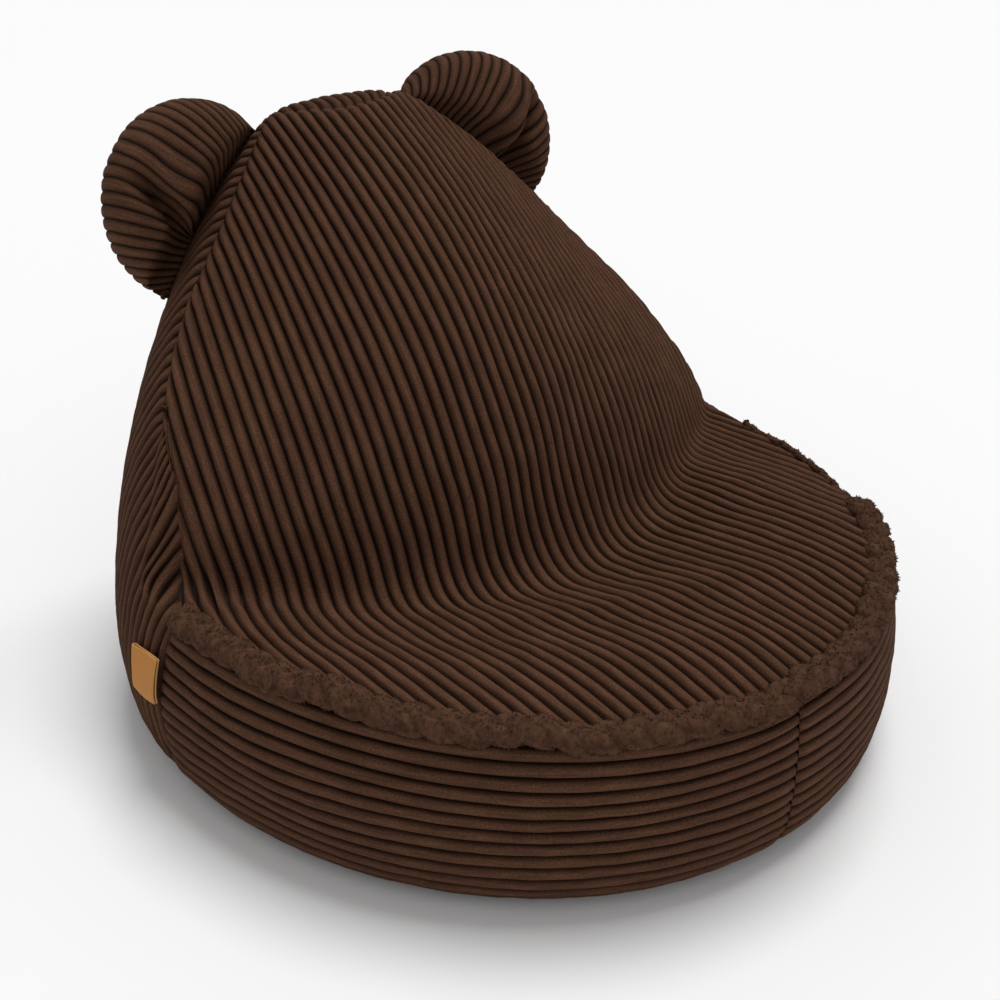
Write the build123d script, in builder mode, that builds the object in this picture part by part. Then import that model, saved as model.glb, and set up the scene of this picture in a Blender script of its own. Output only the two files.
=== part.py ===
"""Bean bag chair with two ears: a corduroy cover over a bead-filled liner.

Millimetres, Z up. The chair faces -Y, stands on Z = 0 and is centred on the origin.
Left is -X, as seen from in front.
"""

from math import asin, cos, degrees, radians, sin, tan
import os

from build123d import *

# Cloth layers
CLOTH = 4.0  # corduroy with its ribs
LINER = 1.2  # inner bag
SLIP = 0.4  # play between one layer and the next

# Outside of the bag, level by level: height, half width, Y of the widest line, front, back
FLOOR = (0.0, 314.0, 30.0, -322.0, 322.0)
HEEL = (14.0, 329.0, 32.0, -338.0, 338.0)
FLANK = (50.0, 334.0, 34.0, -343.5, 343.5)
BULGE = (88.0, 335.5, 35.0, -345.0, 345.0)
SEAT = (158.0, 317.0, 60.0, -339.0, 345.0)
HAUNCH = (250.0, 266.0, 120.0, -310.0, 343.0)
NECK = (360.0, 180.0, 188.0, -250.0, 329.0)
CROWN = (466.0, 72.0, 246.0, -170.0, 276.0)
SIDE_SEAM_Y = 20.0  # front band meets back panel here

# Sitting surface: control points down the middle as Y, Z, then how far each one trails
# back and rises at the side station
SIDE_STATION = 300.0
SEAT_LINE = [(-399, 128, 0, -6), (-270, 200, 55, -6), (-150, 140, 128, 10), (-91, 134, 142, 24)]
LOWER_BACK = [(-91, 134, 142, 24), (-45, 134, 138, 14), (-50, 205, 86, 0), (5, 284, 225, 0)]
UPPER_BACK = [(5, 284, 225, 0), (79, 391, 412, 0), (200, 458, 480, 0), (360, 520, 460, 0)]

# Rolled edge along the front of the seat
ROLL_RADIUS = 10.0
ROLL_INSET = 6.0  # roll centre inside the seam line
ROLL_Z = 158.0

# Ears, given for the right one
EAR_CENTRE = (148.0, 263.0, 397.0)
EAR_RADIUS, EAR_HALF_THICK = 87.0, 46.0
EAR_RIM, EAR_SHOULDER = 35.0, 65.0  # rim radius, and degrees of it each way
EAR_TURN, EAR_TILT = 12.6, 6.0  # faces inward and up, degrees
EAR_HINGE = (129.4, 263.0, 394.0)  # middle of the sewn base
EAR_LEAN = 40.0  # outward direction above the horizontal, degrees
BASE_FRONT_SLOPE, BASE_REAR_SLOPE = 45.0, -20.0  # base cut back from the seam, degrees
PLEAT_BASE, PLEAT_TIP = 15.0, 3.0  # pleat radius at the base and near the rim
PLEAT_START, PLEAT_END = -50.0, 56.0  # along the ear, from its middle

# Folded label in the left side seam
LABEL_LONG, LABEL_TALL, LABEL_LEAF = 46.0, 39.0, 1.1
LABEL_LOW_Z = 76.0
LABEL_FOLD, LABEL_FOLD_GAP = 3.0, 0.2
LABEL_GAP = 0.9  # off the wall

# Zip across the base
ZIP_Y, ZIP_HALF = 90.0, 190.0
ZIP_SLOT = 14.0
COIL_WIDE, COIL_THICK = 4.8, 1.9
TAPE_REACH, TAPE_THICK, TAPE_SPLIT = 18.0, 0.8, 1.2
TAPE_END = 12.0  # tape past the coil
SLIDER_LONG, SLIDER_WIDE, SLIDER_PLATE = 16.0, 9.6, 1.0
SLIDER_FLANGE, SLIDER_POST, SLIDER_PLAY = 1.3, 1.6, 0.4
STOP_LONG = 2.6

FAR = 900.0

os.makedirs("parts", exist_ok=True)


def write(part, name):
    part.label = name
    export_step(part, f"parts/{name}.step")


def lofted(levels, inset):
    """A solid through the given levels, each a front and a rear half ellipse."""
    with BuildPart() as body:
        for z, half_width, middle, front, back in levels:
            with BuildSketch(Plane.XY.offset(z)):
                with BuildLine():
                    for start, reach in ((180, middle - front), (0, back - middle)):
                        EllipticalCenterArc(
                            (0, middle), half_width - inset, reach - inset, start, arc_size=180
                        )
                make_face()
        loft()
    return body.part


def full_bag(inset):
    """The bag before the seat is pressed in, taken in all round."""
    with BuildPart() as bag:
        add(lofted([FLOOR, HEEL], inset))
        add(lofted([HEEL, FLANK, BULGE], inset))
        add(lofted([BULGE, SEAT, HAUNCH, NECK, CROWN], inset))
        if inset > 0:
            Box(FAR, FAR, 2 * inset, mode=Mode.SUBTRACT)
            with Locations((0, 0, CROWN[0])):
                Box(FAR, FAR, 2 * inset, mode=Mode.SUBTRACT)
    return bag.part


def seat_space():
    """Everything above the seat and in front of the backrest."""
    with BuildPart() as space:
        for x in (-FAR / 2, 0, FAR / 2):
            side = (x / SIDE_STATION) ** 2
            runs = [
                [(y + trail * side, z + rise * side) for y, z, trail, rise in run]
                for run in (SEAT_LINE, LOWER_BACK, UPPER_BACK)
            ]
            with BuildSketch(Plane.YZ.offset(x)):
                with BuildLine():
                    for run in runs:
                        Bezier(*run)
                    Polyline(runs[-1][-1], (2 * FAR, FAR), (-FAR, FAR), runs[0][0])
                make_face()
        loft()
    return space.part


SEAT_SPACE = seat_space()


def seat_space_for(inset):
    """The seat space moved to the top of a layer this far inside."""
    return SEAT_SPACE.moved(Location((0, 0.58 * inset, -inset)))


def bag_form(inset):
    """The whole bag with its seat, taken in all round."""
    with BuildPart() as bag:
        add(full_bag(inset))
        add(seat_space_for(inset), mode=Mode.SUBTRACT)
    return bag.part


OUTER = bag_form(0)

# Cover: one sheet over seat and backrest, a wall all round and a base in two halves
with BuildPart() as seat_panel:
    add(OUTER)
    add(seat_space_for(CLOTH), mode=Mode.INTERSECT)

with BuildPart() as wall:
    add(OUTER)
    add(seat_space_for(CLOTH), mode=Mode.SUBTRACT)
    add(full_bag(CLOTH), mode=Mode.SUBTRACT)
    Box(FAR, FAR, 2 * CLOTH, mode=Mode.SUBTRACT)


def wall_piece(x_side, y_side):
    """The part of the wall on the given sides of the middle seam and the side seams."""
    with BuildPart() as piece:
        add(wall.part)
        with Locations((0, SIDE_SEAM_Y, 0)):
            Box(FAR, FAR, 2 * FAR, align=(x_side, y_side, Align.CENTER), mode=Mode.INTERSECT)
    return piece.part


def base_half(y_side):
    """One half of the base, cut back along the zip."""
    with BuildPart() as half:
        add(OUTER)
        with Locations((0, ZIP_Y, 0)):
            Box(FAR, FAR, 2 * CLOTH, align=(Align.CENTER, y_side, Align.CENTER), mode=Mode.INTERSECT)
            Box(2 * (ZIP_HALF + TAPE_END), ZIP_SLOT, 3 * CLOTH, mode=Mode.SUBTRACT)
    return half.part


write(seat_panel.part, "seat_panel")
write(wall_piece(Align.CENTER, Align.MIN), "back_panel")
write(wall_piece(Align.MAX, Align.MAX), "front_band_left")
write(wall_piece(Align.MIN, Align.MAX), "front_band_right")
write(base_half(Align.MAX), "base_front")
write(base_half(Align.MIN), "base_rear")

# Rolled edge on the front seam, seated on the bag
roll_half_width = SEAT[1] - ROLL_INSET
roll_reach = SEAT[2] - SEAT[3] - ROLL_INSET
roll_start = degrees(asin((SEAT[2] - SIDE_SEAM_Y) / roll_reach))
with BuildPart() as seat_edge_roll:
    with BuildLine() as roll_path:
        EllipticalCenterArc(
            (0, SEAT[2], ROLL_Z),
            roll_half_width,
            roll_reach,
            180 + roll_start,
            arc_size=180 - 2 * roll_start,
        )
    with BuildSketch(Plane(roll_path.line @ 0, z_dir=roll_path.line % 0)):
        Circle(ROLL_RADIUS)
    sweep()
    add(OUTER, mode=Mode.SUBTRACT)
write(seat_edge_roll.part, "seat_edge_roll")

# Ears
ear_out = Vector(cos(radians(EAR_LEAN)), 0, sin(radians(EAR_LEAN)))
ear_hinge = Axis(EAR_HINGE, (sin(radians(EAR_LEAN)), 0, -cos(radians(EAR_LEAN))))
ear_face = Vector(
    -sin(radians(EAR_TURN)) * cos(radians(EAR_TILT)),
    -cos(radians(EAR_TURN)) * cos(radians(EAR_TILT)),
    sin(radians(EAR_TILT)),
)
ear_plane = Plane(EAR_CENTRE, x_dir=ear_out, z_dir=ear_face)


def ear_form(inset):
    """A pleated cushion whose base narrows to the seam, so that it can bend."""
    with BuildPart() as ear:
        top = (0, EAR_HALF_THICK - inset)
        low = (0, inset - EAR_HALF_THICK)
        with BuildSketch(Plane.XZ):
            with BuildLine():
                round_rim = (EAR_RADIUS - EAR_RIM, 0)
                rim = CenterArc(round_rim, EAR_RIM - inset, -EAR_SHOULDER, 2 * EAR_SHOULDER)
                TangentArc(rim @ 1, top, tangent=rim % 1)
                Line(top, low)
                TangentArc(rim @ 0, low, tangent=-(rim % 0))
            make_face()
        revolve(axis=Axis.Z)
        with Locations(Location((PLEAT_START, 0, EAR_HALF_THICK), (0, 90, 0))):
            Cone(
                PLEAT_BASE + inset,
                PLEAT_TIP + inset,
                PLEAT_END + inset - PLEAT_START,
                align=(Align.CENTER, Align.CENTER, Align.MIN),
                mode=Mode.SUBTRACT,
            )
    seam = Plane(EAR_HINGE, x_dir=ear_out, z_dir=ear_hinge.direction)
    front, rear = tan(radians(BASE_FRONT_SLOPE)), tan(radians(BASE_REAR_SLOPE))
    thick = 2 * EAR_HALF_THICK
    with BuildPart() as cut_back:
        with BuildSketch(seam):
            with BuildLine():
                Polyline(
                    (inset, 0),
                    (inset + thick * front, thick),
                    (-FAR, thick),
                    (-FAR, -thick),
                    (inset + thick * rear, -thick),
                    close=True,
                )
            make_face()
        extrude(amount=FAR / 2, both=True)
    with BuildPart() as seated:
        add(ear.part.moved(ear_plane.location))
        add(cut_back.part, mode=Mode.SUBTRACT)
    return seated.part


ear_outer, ear_inner, ear_core = ear_form(0), ear_form(CLOTH), ear_form(CLOTH + SLIP)


def ear_cloth(face_side):
    """The front or the back cloth of an ear."""
    with BuildPart() as cloth:
        add(ear_outer)
        add(ear_inner, mode=Mode.SUBTRACT)
        with Locations(ear_plane.location):
            Box(FAR, FAR, FAR, align=(Align.CENTER, Align.CENTER, face_side), mode=Mode.INTERSECT)
    return cloth.part


for part, name in (
    (ear_cloth(Align.MIN), "ear_front"),
    (ear_cloth(Align.MAX), "ear_back"),
    (ear_core, "ear_stuffing"),
):
    write(part, f"right_{name}")
    write(mirror(part, about=Plane.YZ), f"left_{name}")


def over_wall(low, high, length):
    """A patch that follows the wall behind the left side seam, between two distances off it."""
    with BuildPart() as patch:
        add(full_bag(-high))
        add(full_bag(-low), mode=Mode.SUBTRACT)
        with Locations((0, SIDE_SEAM_Y, LABEL_LOW_Z)):
            Box(
                FAR,
                length,
                LABEL_TALL,
                align=(Align.MAX, Align.MIN, Align.MIN),
                mode=Mode.INTERSECT,
            )
    return patch.part


# Label, two leaves of leather joined by the fold at the free end
inner_leaf = LABEL_GAP + LABEL_LEAF
with BuildPart() as label_tab:
    add(over_wall(LABEL_GAP, inner_leaf + LABEL_FOLD_GAP + LABEL_LEAF, LABEL_LONG))
    add(
        over_wall(inner_leaf, inner_leaf + LABEL_FOLD_GAP, LABEL_LONG - LABEL_FOLD),
        mode=Mode.SUBTRACT,
    )
write(label_tab.part, "label_tab")


def bar(long, wide, low, high, x=0.0, y=0.0):
    """A box along the zip: its middle at x, y from the zip, between two heights."""
    with BuildPart() as box:
        with Locations((x, ZIP_Y + y, low)):
            Box(long, wide, high - low, align=(Align.CENTER, Align.CENTER, Align.MIN))
    return box.part


# Zip: tapes on the inside of the base, coil in the slot, slider round both
tape_top = CLOTH + TAPE_THICK
tape_wide = TAPE_REACH - TAPE_SPLIT
tape_y = (TAPE_REACH + TAPE_SPLIT) / 2
tape_long = 2 * (ZIP_HALF + TAPE_END)
coil_low = CLOTH - COIL_THICK
write(bar(tape_long, tape_wide, CLOTH, tape_top, y=-tape_y), "zip_tape_front")
write(bar(tape_long, tape_wide, CLOTH, tape_top, y=tape_y), "zip_tape_rear")
write(bar(2 * ZIP_HALF, COIL_WIDE, coil_low, CLOTH), "zip_coil")

outer_plate_top = coil_low - SLIDER_PLAY
inner_plate_low = tape_top + SLIDER_PLAY
slider_x = ZIP_HALF - SLIDER_LONG / 2 + 2 * SLIDER_POST
flange_y = (SLIDER_WIDE - SLIDER_FLANGE) / 2
with BuildPart() as zip_slider:
    add(bar(SLIDER_LONG, SLIDER_WIDE, outer_plate_top - SLIDER_PLATE, outer_plate_top, slider_x))
    add(bar(SLIDER_LONG, SLIDER_WIDE, inner_plate_low, inner_plate_low + SLIDER_PLATE, slider_x))
    for side in (-1, 1):
        flange_top = CLOTH - SLIDER_PLAY
        add(bar(SLIDER_LONG, SLIDER_FLANGE, outer_plate_top, flange_top, slider_x, side * flange_y))
    post_x = ZIP_HALF + 1.2 * SLIDER_POST
    add(bar(SLIDER_POST, SLIDER_POST, outer_plate_top, inner_plate_low, post_x))
write(zip_slider.part, "zip_slider")

stop_x = slider_x + SLIDER_LONG / 2 + SLIDER_PLAY + STOP_LONG / 2
write(bar(STOP_LONG, COIL_WIDE, coil_low, CLOTH, stop_x), "zip_top_stop")
write(bar(STOP_LONG, COIL_WIDE, coil_low, CLOTH, -ZIP_HALF - STOP_LONG / 2), "zip_bottom_stop")

# Inner bag and its beads, both lifted over the zip
zip_top = inner_plate_low + SLIDER_PLATE


def inner_form(inset, cover):
    """A bag inside the cover, with a channel that leaves room over the zip."""
    with BuildPart() as bag:
        add(bag_form(inset))
        channel_long = tape_long + 2 * (SLIP + cover)
        channel_wide = 2 * (TAPE_REACH + SLIP + cover)
        add(bar(channel_long, channel_wide, 0, zip_top + SLIP + cover), mode=Mode.SUBTRACT)
    return bag.part


with BuildPart() as inner_liner:
    add(inner_form(CLOTH + SLIP, 0))
    add(inner_form(CLOTH + SLIP + LINER, LINER), mode=Mode.SUBTRACT)
write(inner_liner.part, "inner_liner")
write(inner_form(CLOTH + 2 * SLIP + LINER, LINER + SLIP), "bead_fill")
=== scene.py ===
"""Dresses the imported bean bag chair: corduroy cover, edge roll, ears, label, zip and filling."""

import math

import bpy
import numpy as np
from bpy.props import FloatProperty, FloatVectorProperty, IntProperty, PointerProperty
from mathutils import Matrix, Vector
from mathutils.bvhtree import BVHTree
from mathutils.kdtree import KDTree


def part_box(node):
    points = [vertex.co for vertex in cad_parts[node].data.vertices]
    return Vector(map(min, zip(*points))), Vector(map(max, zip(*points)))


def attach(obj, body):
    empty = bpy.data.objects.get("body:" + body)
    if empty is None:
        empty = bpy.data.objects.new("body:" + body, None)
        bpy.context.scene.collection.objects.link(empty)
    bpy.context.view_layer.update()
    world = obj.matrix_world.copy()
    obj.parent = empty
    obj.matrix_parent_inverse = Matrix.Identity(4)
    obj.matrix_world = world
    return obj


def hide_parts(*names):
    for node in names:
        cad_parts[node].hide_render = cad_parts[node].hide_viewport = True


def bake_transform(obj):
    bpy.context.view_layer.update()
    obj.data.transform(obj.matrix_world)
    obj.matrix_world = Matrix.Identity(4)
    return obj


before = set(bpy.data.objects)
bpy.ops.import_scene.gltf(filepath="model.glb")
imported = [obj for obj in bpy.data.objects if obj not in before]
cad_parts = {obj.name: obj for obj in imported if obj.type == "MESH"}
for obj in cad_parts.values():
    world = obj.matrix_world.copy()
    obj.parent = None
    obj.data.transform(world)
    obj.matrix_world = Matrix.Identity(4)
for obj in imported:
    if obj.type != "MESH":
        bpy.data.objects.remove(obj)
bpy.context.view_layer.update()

bl_info = {
    "name": "Corduroy Bean Bag Chair",
    "version": (1, 0, 0),
    "blender": (4, 5, 0),
    "location": "View3D > Sidebar > Bean Bag",
    "description": "Dresses a bean bag chair with ears in wide-ribbed corduroy",
    "category": "Object",
}

# Sizes that repeat the CAD model's, in metres
SIDE_SEAM_Y = 0.020
ROLL_CENTRE_Y, ROLL_HALF_WIDTH, ROLL_DEPTH, ROLL_Z = 0.060, 0.311, 0.393, 0.158
FLOOR_HALF_WIDTH, FLOOR_CENTRE_Y, FLOOR_FRONT, FLOOR_REAR = 0.314, 0.030, 0.352, 0.292
ZIP_Y, ZIP_HALF, ZIP_SLOT = 0.090, 0.190, 0.014
EAR_CENTRE = Vector((0.148, 0.263, 0.397))
EAR_HINGE = Vector((0.1294, 0.263, 0.394))
EAR_RADIUS = 0.087
EAR_LEAN, EAR_TURN, EAR_TILT = math.radians(40), math.radians(12.6), math.radians(6)

# How the label lies, how high the wall's rows go, and where the roll thins out
LABEL_LOW, LABEL_HIGH, LABEL_LONG = 0.081, 0.120, 0.046
LABEL_TILT, LABEL_FOLD, LABEL_LEATHER = 0.007, 0.005, 0.0011
WALL_FOOT, WALL_TOP, CROWN_Z = 0.0045, 0.4615, 0.455
ROLL_PINCH = (math.radians(50), math.radians(64))
# How the cloth lies: its tuck at the floor, hems, seams, the sag of the right front edge, the base of an ear
FLOOR_TUCK = 0.02
HEM_WIDTH, EDGE_MARGIN, SEAM_PUCKER, SAG = 0.012, 0.002, 0.002, 0.017
BAND_HEMS = {"ends": 0.35, "Seam_dip": 0.009, "Pucker": 0.006}
EAR_RIBS = {"Seam_dip": 0.001, "Pucker": 0.002, "Sharpness": 4.0, "Depth": 0.0024}
EAR_SEWN_IN, EAR_BEND = 0.009, 0.035
# The fold of an ear, by distance out from its middle and across it, and the lobe that hangs over the fold
PLEAT_OUT, PLEAT_ACROSS = [-0.016, 0.016, 0.063, 0.09], [-0.026, -0.024, -0.011, -0.016]
PLEAT_WIDTH, PLEAT_DEPTH = 0.012, 0.030
LOBE_OFF, LOBE_RISE, LOBE_HANG = 0.016, 0.006, 0.014
# Points along one rib
SEAT_POINTS, WALL_POINTS, BAND_POINTS, BASE_POINTS, EAR_POINTS = 92, 56, 64, 48, 44

# Floor, light and camera
FLOOR_SIZE, WORLD_LIGHT = 14.0, 0.42
SUNS = {"key": ((0.30, 0.10, 1.0), 1.85, 30), "fill": ((-0.5, -1.0, 0.9), 0.25, 60)}
CAMERA_SENSOR, CAMERA_LENS = 36.0, 53.705
CAMERA_PLACE = (-0.69573, -0.89554, 0.80133)
CAMERA_RIGHT, CAMERA_UP = Vector((0.795138, -0.606428, 0.0)), Vector((0.296283, 0.388481, 0.872525))

# The seat is seen from this line above it, and its rows fan out from there
SEAT_AXIS_Y, SEAT_AXIS_Z = -0.26, 0.42
SEAT_ANGLES = np.radians(np.linspace(-112, 8, 481))
# Across one rib, from groove to groove
RIB_STEPS = np.array([0.0, 0.055, 0.12, 0.25, 0.5, 0.75, 0.88, 0.945])
# How far the wall's cloth comes over the shoulder onto the seat, by angle of the seat's fan, on the left only
SHOULDER_ANGLES = np.radians([-43.5, -42, -41, -40, -39, -38, -37, -36, -34, -32, -30, -28, -24, -20])
SHOULDER_REACH = 0.0001 * np.array([0, 125, 191, 249, 296, 367, 393, 373, 331, 288, 249, 209, 105, 0])
SHOULDER_SHARE = {"left": 1.0, "right": 0.0}
SHOULDER_OVERLAP = 0.004
# A rib that comes to the seat's edge at the first of these angles meets the seam at the second
SHOULDER_STARTS = np.radians([-43.5, -41, -38, -35, -28, -20])
SHOULDER_MEETS = np.radians([-43.5, -39, -32, -28, -24, -20])


# Small tools


def smoothstep(low, high, value):
    t = np.clip((np.asarray(value, float) - low) / (high - low), 0, 1)
    return t * t * (3 - 2 * t)


def even(values, passes):
    """Evens out a row of numbers and keeps its ends."""
    values = np.array(values, float)
    for _ in range(passes):
        if len(values) > 2:
            values[1:-1] = (values[:-2] + 2 * values[1:-1] + values[2:]) / 4
    return values


def resample(line, fractions):
    """Points at these fractions of a line's length."""
    steps = np.linalg.norm(np.diff(line, axis=0), axis=1)
    length = np.concatenate([[0], np.cumsum(steps)])
    at = np.asarray(fractions) * length[-1]
    return np.stack([np.interp(at, length, line[:, k]) for k in range(3)], axis=1)


def cad_tree(*nodes):
    """The faces of CAD nodes, to be hit by rays."""
    points, faces = [], []
    for node in nodes:
        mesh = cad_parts[node].data
        start = len(points)
        points += [v.co[:] for v in mesh.vertices]
        faces += [[start + i for i in p.vertices] for p in mesh.polygons]
    return BVHTree.FromPolygons(points, faces)


def new_object(name, mesh):
    made = bpy.data.objects.new(name, mesh)
    bpy.context.scene.collection.objects.link(made)
    return made


def grid_mesh(name, grid, attributes=None):
    """A sheet of quads from points [column][row], facing right of a column's run."""
    columns, rows = grid.shape[:2]
    index = np.arange(columns * rows).reshape(columns, rows)
    quads = np.stack([index[:-1, :-1], index[1:, :-1], index[1:, 1:], index[:-1, 1:]], axis=-1)
    mesh = bpy.data.meshes.new(name)
    mesh.from_pydata(grid.reshape(-1, 3).tolist(), [], quads.reshape(-1, 4).tolist())
    for key, values in (attributes or {}).items():
        layer = mesh.attributes.new(key, "FLOAT", "POINT")
        layer.data.foreach_set("value", np.asarray(values, np.float32).ravel())
    mesh.update()
    return mesh


def settle(piece):
    """Turns a piece and its modifiers into one plain mesh."""
    graph = bpy.context.evaluated_depsgraph_get()
    plain = bpy.data.meshes.new_from_object(piece.evaluated_get(graph))
    piece.modifiers.clear()
    old, piece.data = piece.data, plain
    plain.name = piece.name
    bpy.data.meshes.remove(old)
    return piece


def rib_phases(low, high):
    """Rib numbers, whole at each groove, from low to high."""
    whole = np.arange(math.floor(low), math.ceil(high))
    phases = (whole[:, None] + RIB_STEPS[None, :]).ravel()
    inside = phases[(phases > low) & (phases < high)]
    return np.concatenate([[low], inside, [high]])


# Node trees


def add(tree, kind, feeds=None, **settings):
    """One node, its settings, and a value or a link for each input named."""
    made = tree.nodes.new(kind)
    for key, value in settings.items():
        setattr(made, key, value)
    for key, source in (feeds or {}).items():
        if isinstance(source, bpy.types.NodeSocket):
            tree.links.new(source, made.inputs[key])
        else:
            made.inputs[key].default_value = source
    return made


def calc(tree, operation, *values):
    """The result of one math node."""
    feeds = dict(enumerate(values))
    return add(tree, "ShaderNodeMath", feeds, operation=operation).outputs[0]


def noise(tree, place, scale, detail, **more):
    """The value of one noise texture."""
    feeds = {"Vector": place, "Scale": scale, "Detail": detail, **more}
    return add(tree, "ShaderNodeTexNoise", feeds).outputs[0]


def unevenness(tree, value, reach):
    """A noise value as a number from half of minus reach to half of reach."""
    return calc(tree, "MULTIPLY", calc(tree, "SUBTRACT", value, 0.5), reach)


def scaled(tree, vector, factor):
    """A direction or a colour times a number."""
    return add(tree, "ShaderNodeVectorMath", {0: vector, "Scale": factor}, operation="SCALE").outputs[0]


def on_points(tree, name):
    """A number that a mesh keeps on its points."""
    return add(tree, "GeometryNodeInputNamedAttribute", {"Name": name}, data_type="FLOAT").outputs[0]


def socket(tree, name, kind, default=None, way="INPUT"):
    made = tree.interface.new_socket(name, in_out=way, socket_type=kind)
    if default is not None:
        made.default_value = default
    return made


def rib_profile(tree, wale, sharpness):
    """1 along a rib's top and 0 in its grooves."""
    across = calc(tree, "ABSOLUTE", calc(tree, "MULTIPLY_ADD", calc(tree, "FRACT", wale), 2.0, -1.0))
    return calc(tree, "SUBTRACT", 1.0, calc(tree, "POWER", across, sharpness))


def corduroy_tree():
    """Raises ribs on a sheet, sinks its hems into the seams and gives it some unevenness."""
    tree = bpy.data.node_groups.new("Corduroy ribs", "GeometryNodeTree")
    socket(tree, "Geometry", "NodeSocketGeometry")
    sizes = {"Depth": 0.0055, "Sharpness": 4.5, "Seam dip": 0.005, "Lumps": 0.002, "Pucker": 0.004}
    for name, size in sizes.items():
        socket(tree, name, "NodeSocketFloat", size)
    socket(tree, "Cloth", "NodeSocketMaterial")
    socket(tree, "Geometry", "NodeSocketGeometry", way="OUTPUT")
    given = add(tree, "NodeGroupInput").outputs
    hem = on_points(tree, "hem")
    sunk = calc(tree, "SUBTRACT", rib_profile(tree, on_points(tree, "wale"), given["Sharpness"]), 1.0)
    relief = calc(tree, "MULTIPLY_ADD", hem, 0.65, 0.35)
    ribs = calc(tree, "MULTIPLY", calc(tree, "MULTIPLY", sunk, given["Depth"]), relief)
    place = add(tree, "GeometryNodeInputPosition").outputs[0]
    lumps = unevenness(tree, noise(tree, place, 42.0, 1.0), given["Lumps"])
    edge = calc(tree, "SUBTRACT", 1.0, hem)
    tuck = calc(tree, "POWER", edge, 2.0)
    pucker = unevenness(tree, noise(tree, place, 75.0, 1.0), given["Pucker"])
    height = calc(tree, "ADD", ribs, calc(tree, "MULTIPLY_ADD", pucker, edge, lumps))
    height = calc(tree, "SUBTRACT", height, calc(tree, "MULTIPLY", tuck, given["Seam dip"]))
    normal = add(tree, "GeometryNodeInputNormal").outputs[0]
    offset = scaled(tree, normal, height)
    moved = add(tree, "GeometryNodeSetPosition", {"Geometry": given["Geometry"], "Offset": offset})
    soft = add(tree, "GeometryNodeSetShadeSmooth", {0: moved.outputs[0]})
    dressed = add(tree, "GeometryNodeSetMaterial", {0: soft.outputs[0], "Material": given["Cloth"]})
    add(tree, "NodeGroupOutput", {0: dressed.outputs[0]})
    return tree


def use_tree(piece, tree, **values):
    """Puts a geometry tree on a piece, with its inputs set by name."""
    modifier = piece.modifiers.new(tree.name, "NODES")
    modifier.node_group = tree
    wanted = {key.replace("_", " "): value for key, value in values.items()}
    for item in tree.interface.items_tree:
        if item.in_out == "INPUT" and item.name in wanted:
            modifier[item.identifier] = wanted.pop(item.name)
    if wanted:
        raise KeyError(f"{tree.name} has no input named {sorted(wanted)}")
    return modifier


# Materials


def pile_group():
    """Colour, roughness and height of ribbed pile, from the rib number on the cloth, with shade painted into
    its grooves.
    """
    tree = bpy.data.node_groups.new("Corduroy pile", "ShaderNodeTree")
    socket(tree, "Colour", "NodeSocketColor", (0.1, 0.06, 0.04, 1))
    socket(tree, "Groove shade", "NodeSocketFloat", 0.75)
    socket(tree, "Mottle", "NodeSocketFloat", 0.25)
    socket(tree, "Pile scale", "NodeSocketFloat", 900.0)
    socket(tree, "Colour", "NodeSocketColor", way="OUTPUT")
    socket(tree, "Roughness", "NodeSocketFloat", way="OUTPUT")
    socket(tree, "Height", "NodeSocketFloat", way="OUTPUT")
    given = add(tree, "NodeGroupInput").outputs
    wale = add(tree, "ShaderNodeAttribute", attribute_name="wale").outputs["Fac"]
    place = add(tree, "ShaderNodeTexCoord").outputs["Object"]
    run = add(tree, "ShaderNodeAttribute", attribute_name="run").outputs["Fac"]
    strands = {"X": calc(tree, "MULTIPLY", wale, 5.0), "Y": calc(tree, "MULTIPLY", run, 30.0)}
    strands = add(tree, "ShaderNodeCombineXYZ", strands).outputs[0]
    streak = noise(tree, strands, 1.0, 2.0)
    top = rib_profile(tree, wale, 3.0)
    fine = noise(tree, place, given["Pile scale"], 3.0)
    # Painted shade: the colour darkens into each groove between the ribs, by the groove shade
    groove = calc(tree, "MULTIPLY", calc(tree, "SUBTRACT", 1.0, top), given["Groove shade"])
    shade = calc(tree, "SUBTRACT", 1.0, groove)
    speckle = calc(tree, "MULTIPLY_ADD", calc(tree, "SUBTRACT", fine, 0.5), 1.8, 1.0)
    cloud = unevenness(tree, noise(tree, place, 28.0, 4.0), given["Mottle"])
    cloud = calc(tree, "MULTIPLY_ADD", cloud, 2.0, 1.0)
    brushed = calc(tree, "MULTIPLY_ADD", calc(tree, "SUBTRACT", streak, 0.5), 1.3, 1.15)
    worn = calc(tree, "MULTIPLY", cloud, brushed)
    factor = calc(tree, "MULTIPLY", calc(tree, "MULTIPLY", shade, speckle), worn)
    rough = calc(tree, "MULTIPLY_ADD", fine, 0.2, 0.75)
    result = {"Colour": scaled(tree, given["Colour"], factor), "Roughness": rough, "Height": fine}
    add(tree, "NodeGroupOutput", result)
    return tree


def principled(name, **settings):
    """A new material, its tree and its shader with plain values set on the sockets."""
    material = bpy.data.materials.new(name)
    material.use_nodes = True
    shader = material.node_tree.nodes["Principled BSDF"]
    for key, value in settings.items():
        shader.inputs[key.replace("_", " ")].default_value = value
    return material, material.node_tree, shader


def bump(tree, shader, height, distance, strength=1.0):
    made = add(tree, "ShaderNodeBump", {"Height": height, "Distance": distance, "Strength": strength})
    tree.links.new(made.outputs[0], shader.inputs["Normal"])


def corduroy(name, colour, pile, groove=0.75, mottle=0.25):
    material, tree, shader = principled(name, Specular_IOR_Level=0.06)
    # groove is the share of shade painted into the grooves between the ribs
    feeds = {"Colour": (*colour, 1), "Groove shade": groove, "Mottle": mottle}
    cloth = add(tree, "ShaderNodeGroup", node_tree=pile)
    for key, value in feeds.items():
        cloth.inputs[key].default_value = value
    tree.links.new(cloth.outputs["Colour"], shader.inputs["Base Color"])
    tree.links.new(cloth.outputs["Roughness"], shader.inputs["Roughness"])
    bump(tree, shader, cloth.outputs["Height"], 0.0012, 0.6)
    return material


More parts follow.
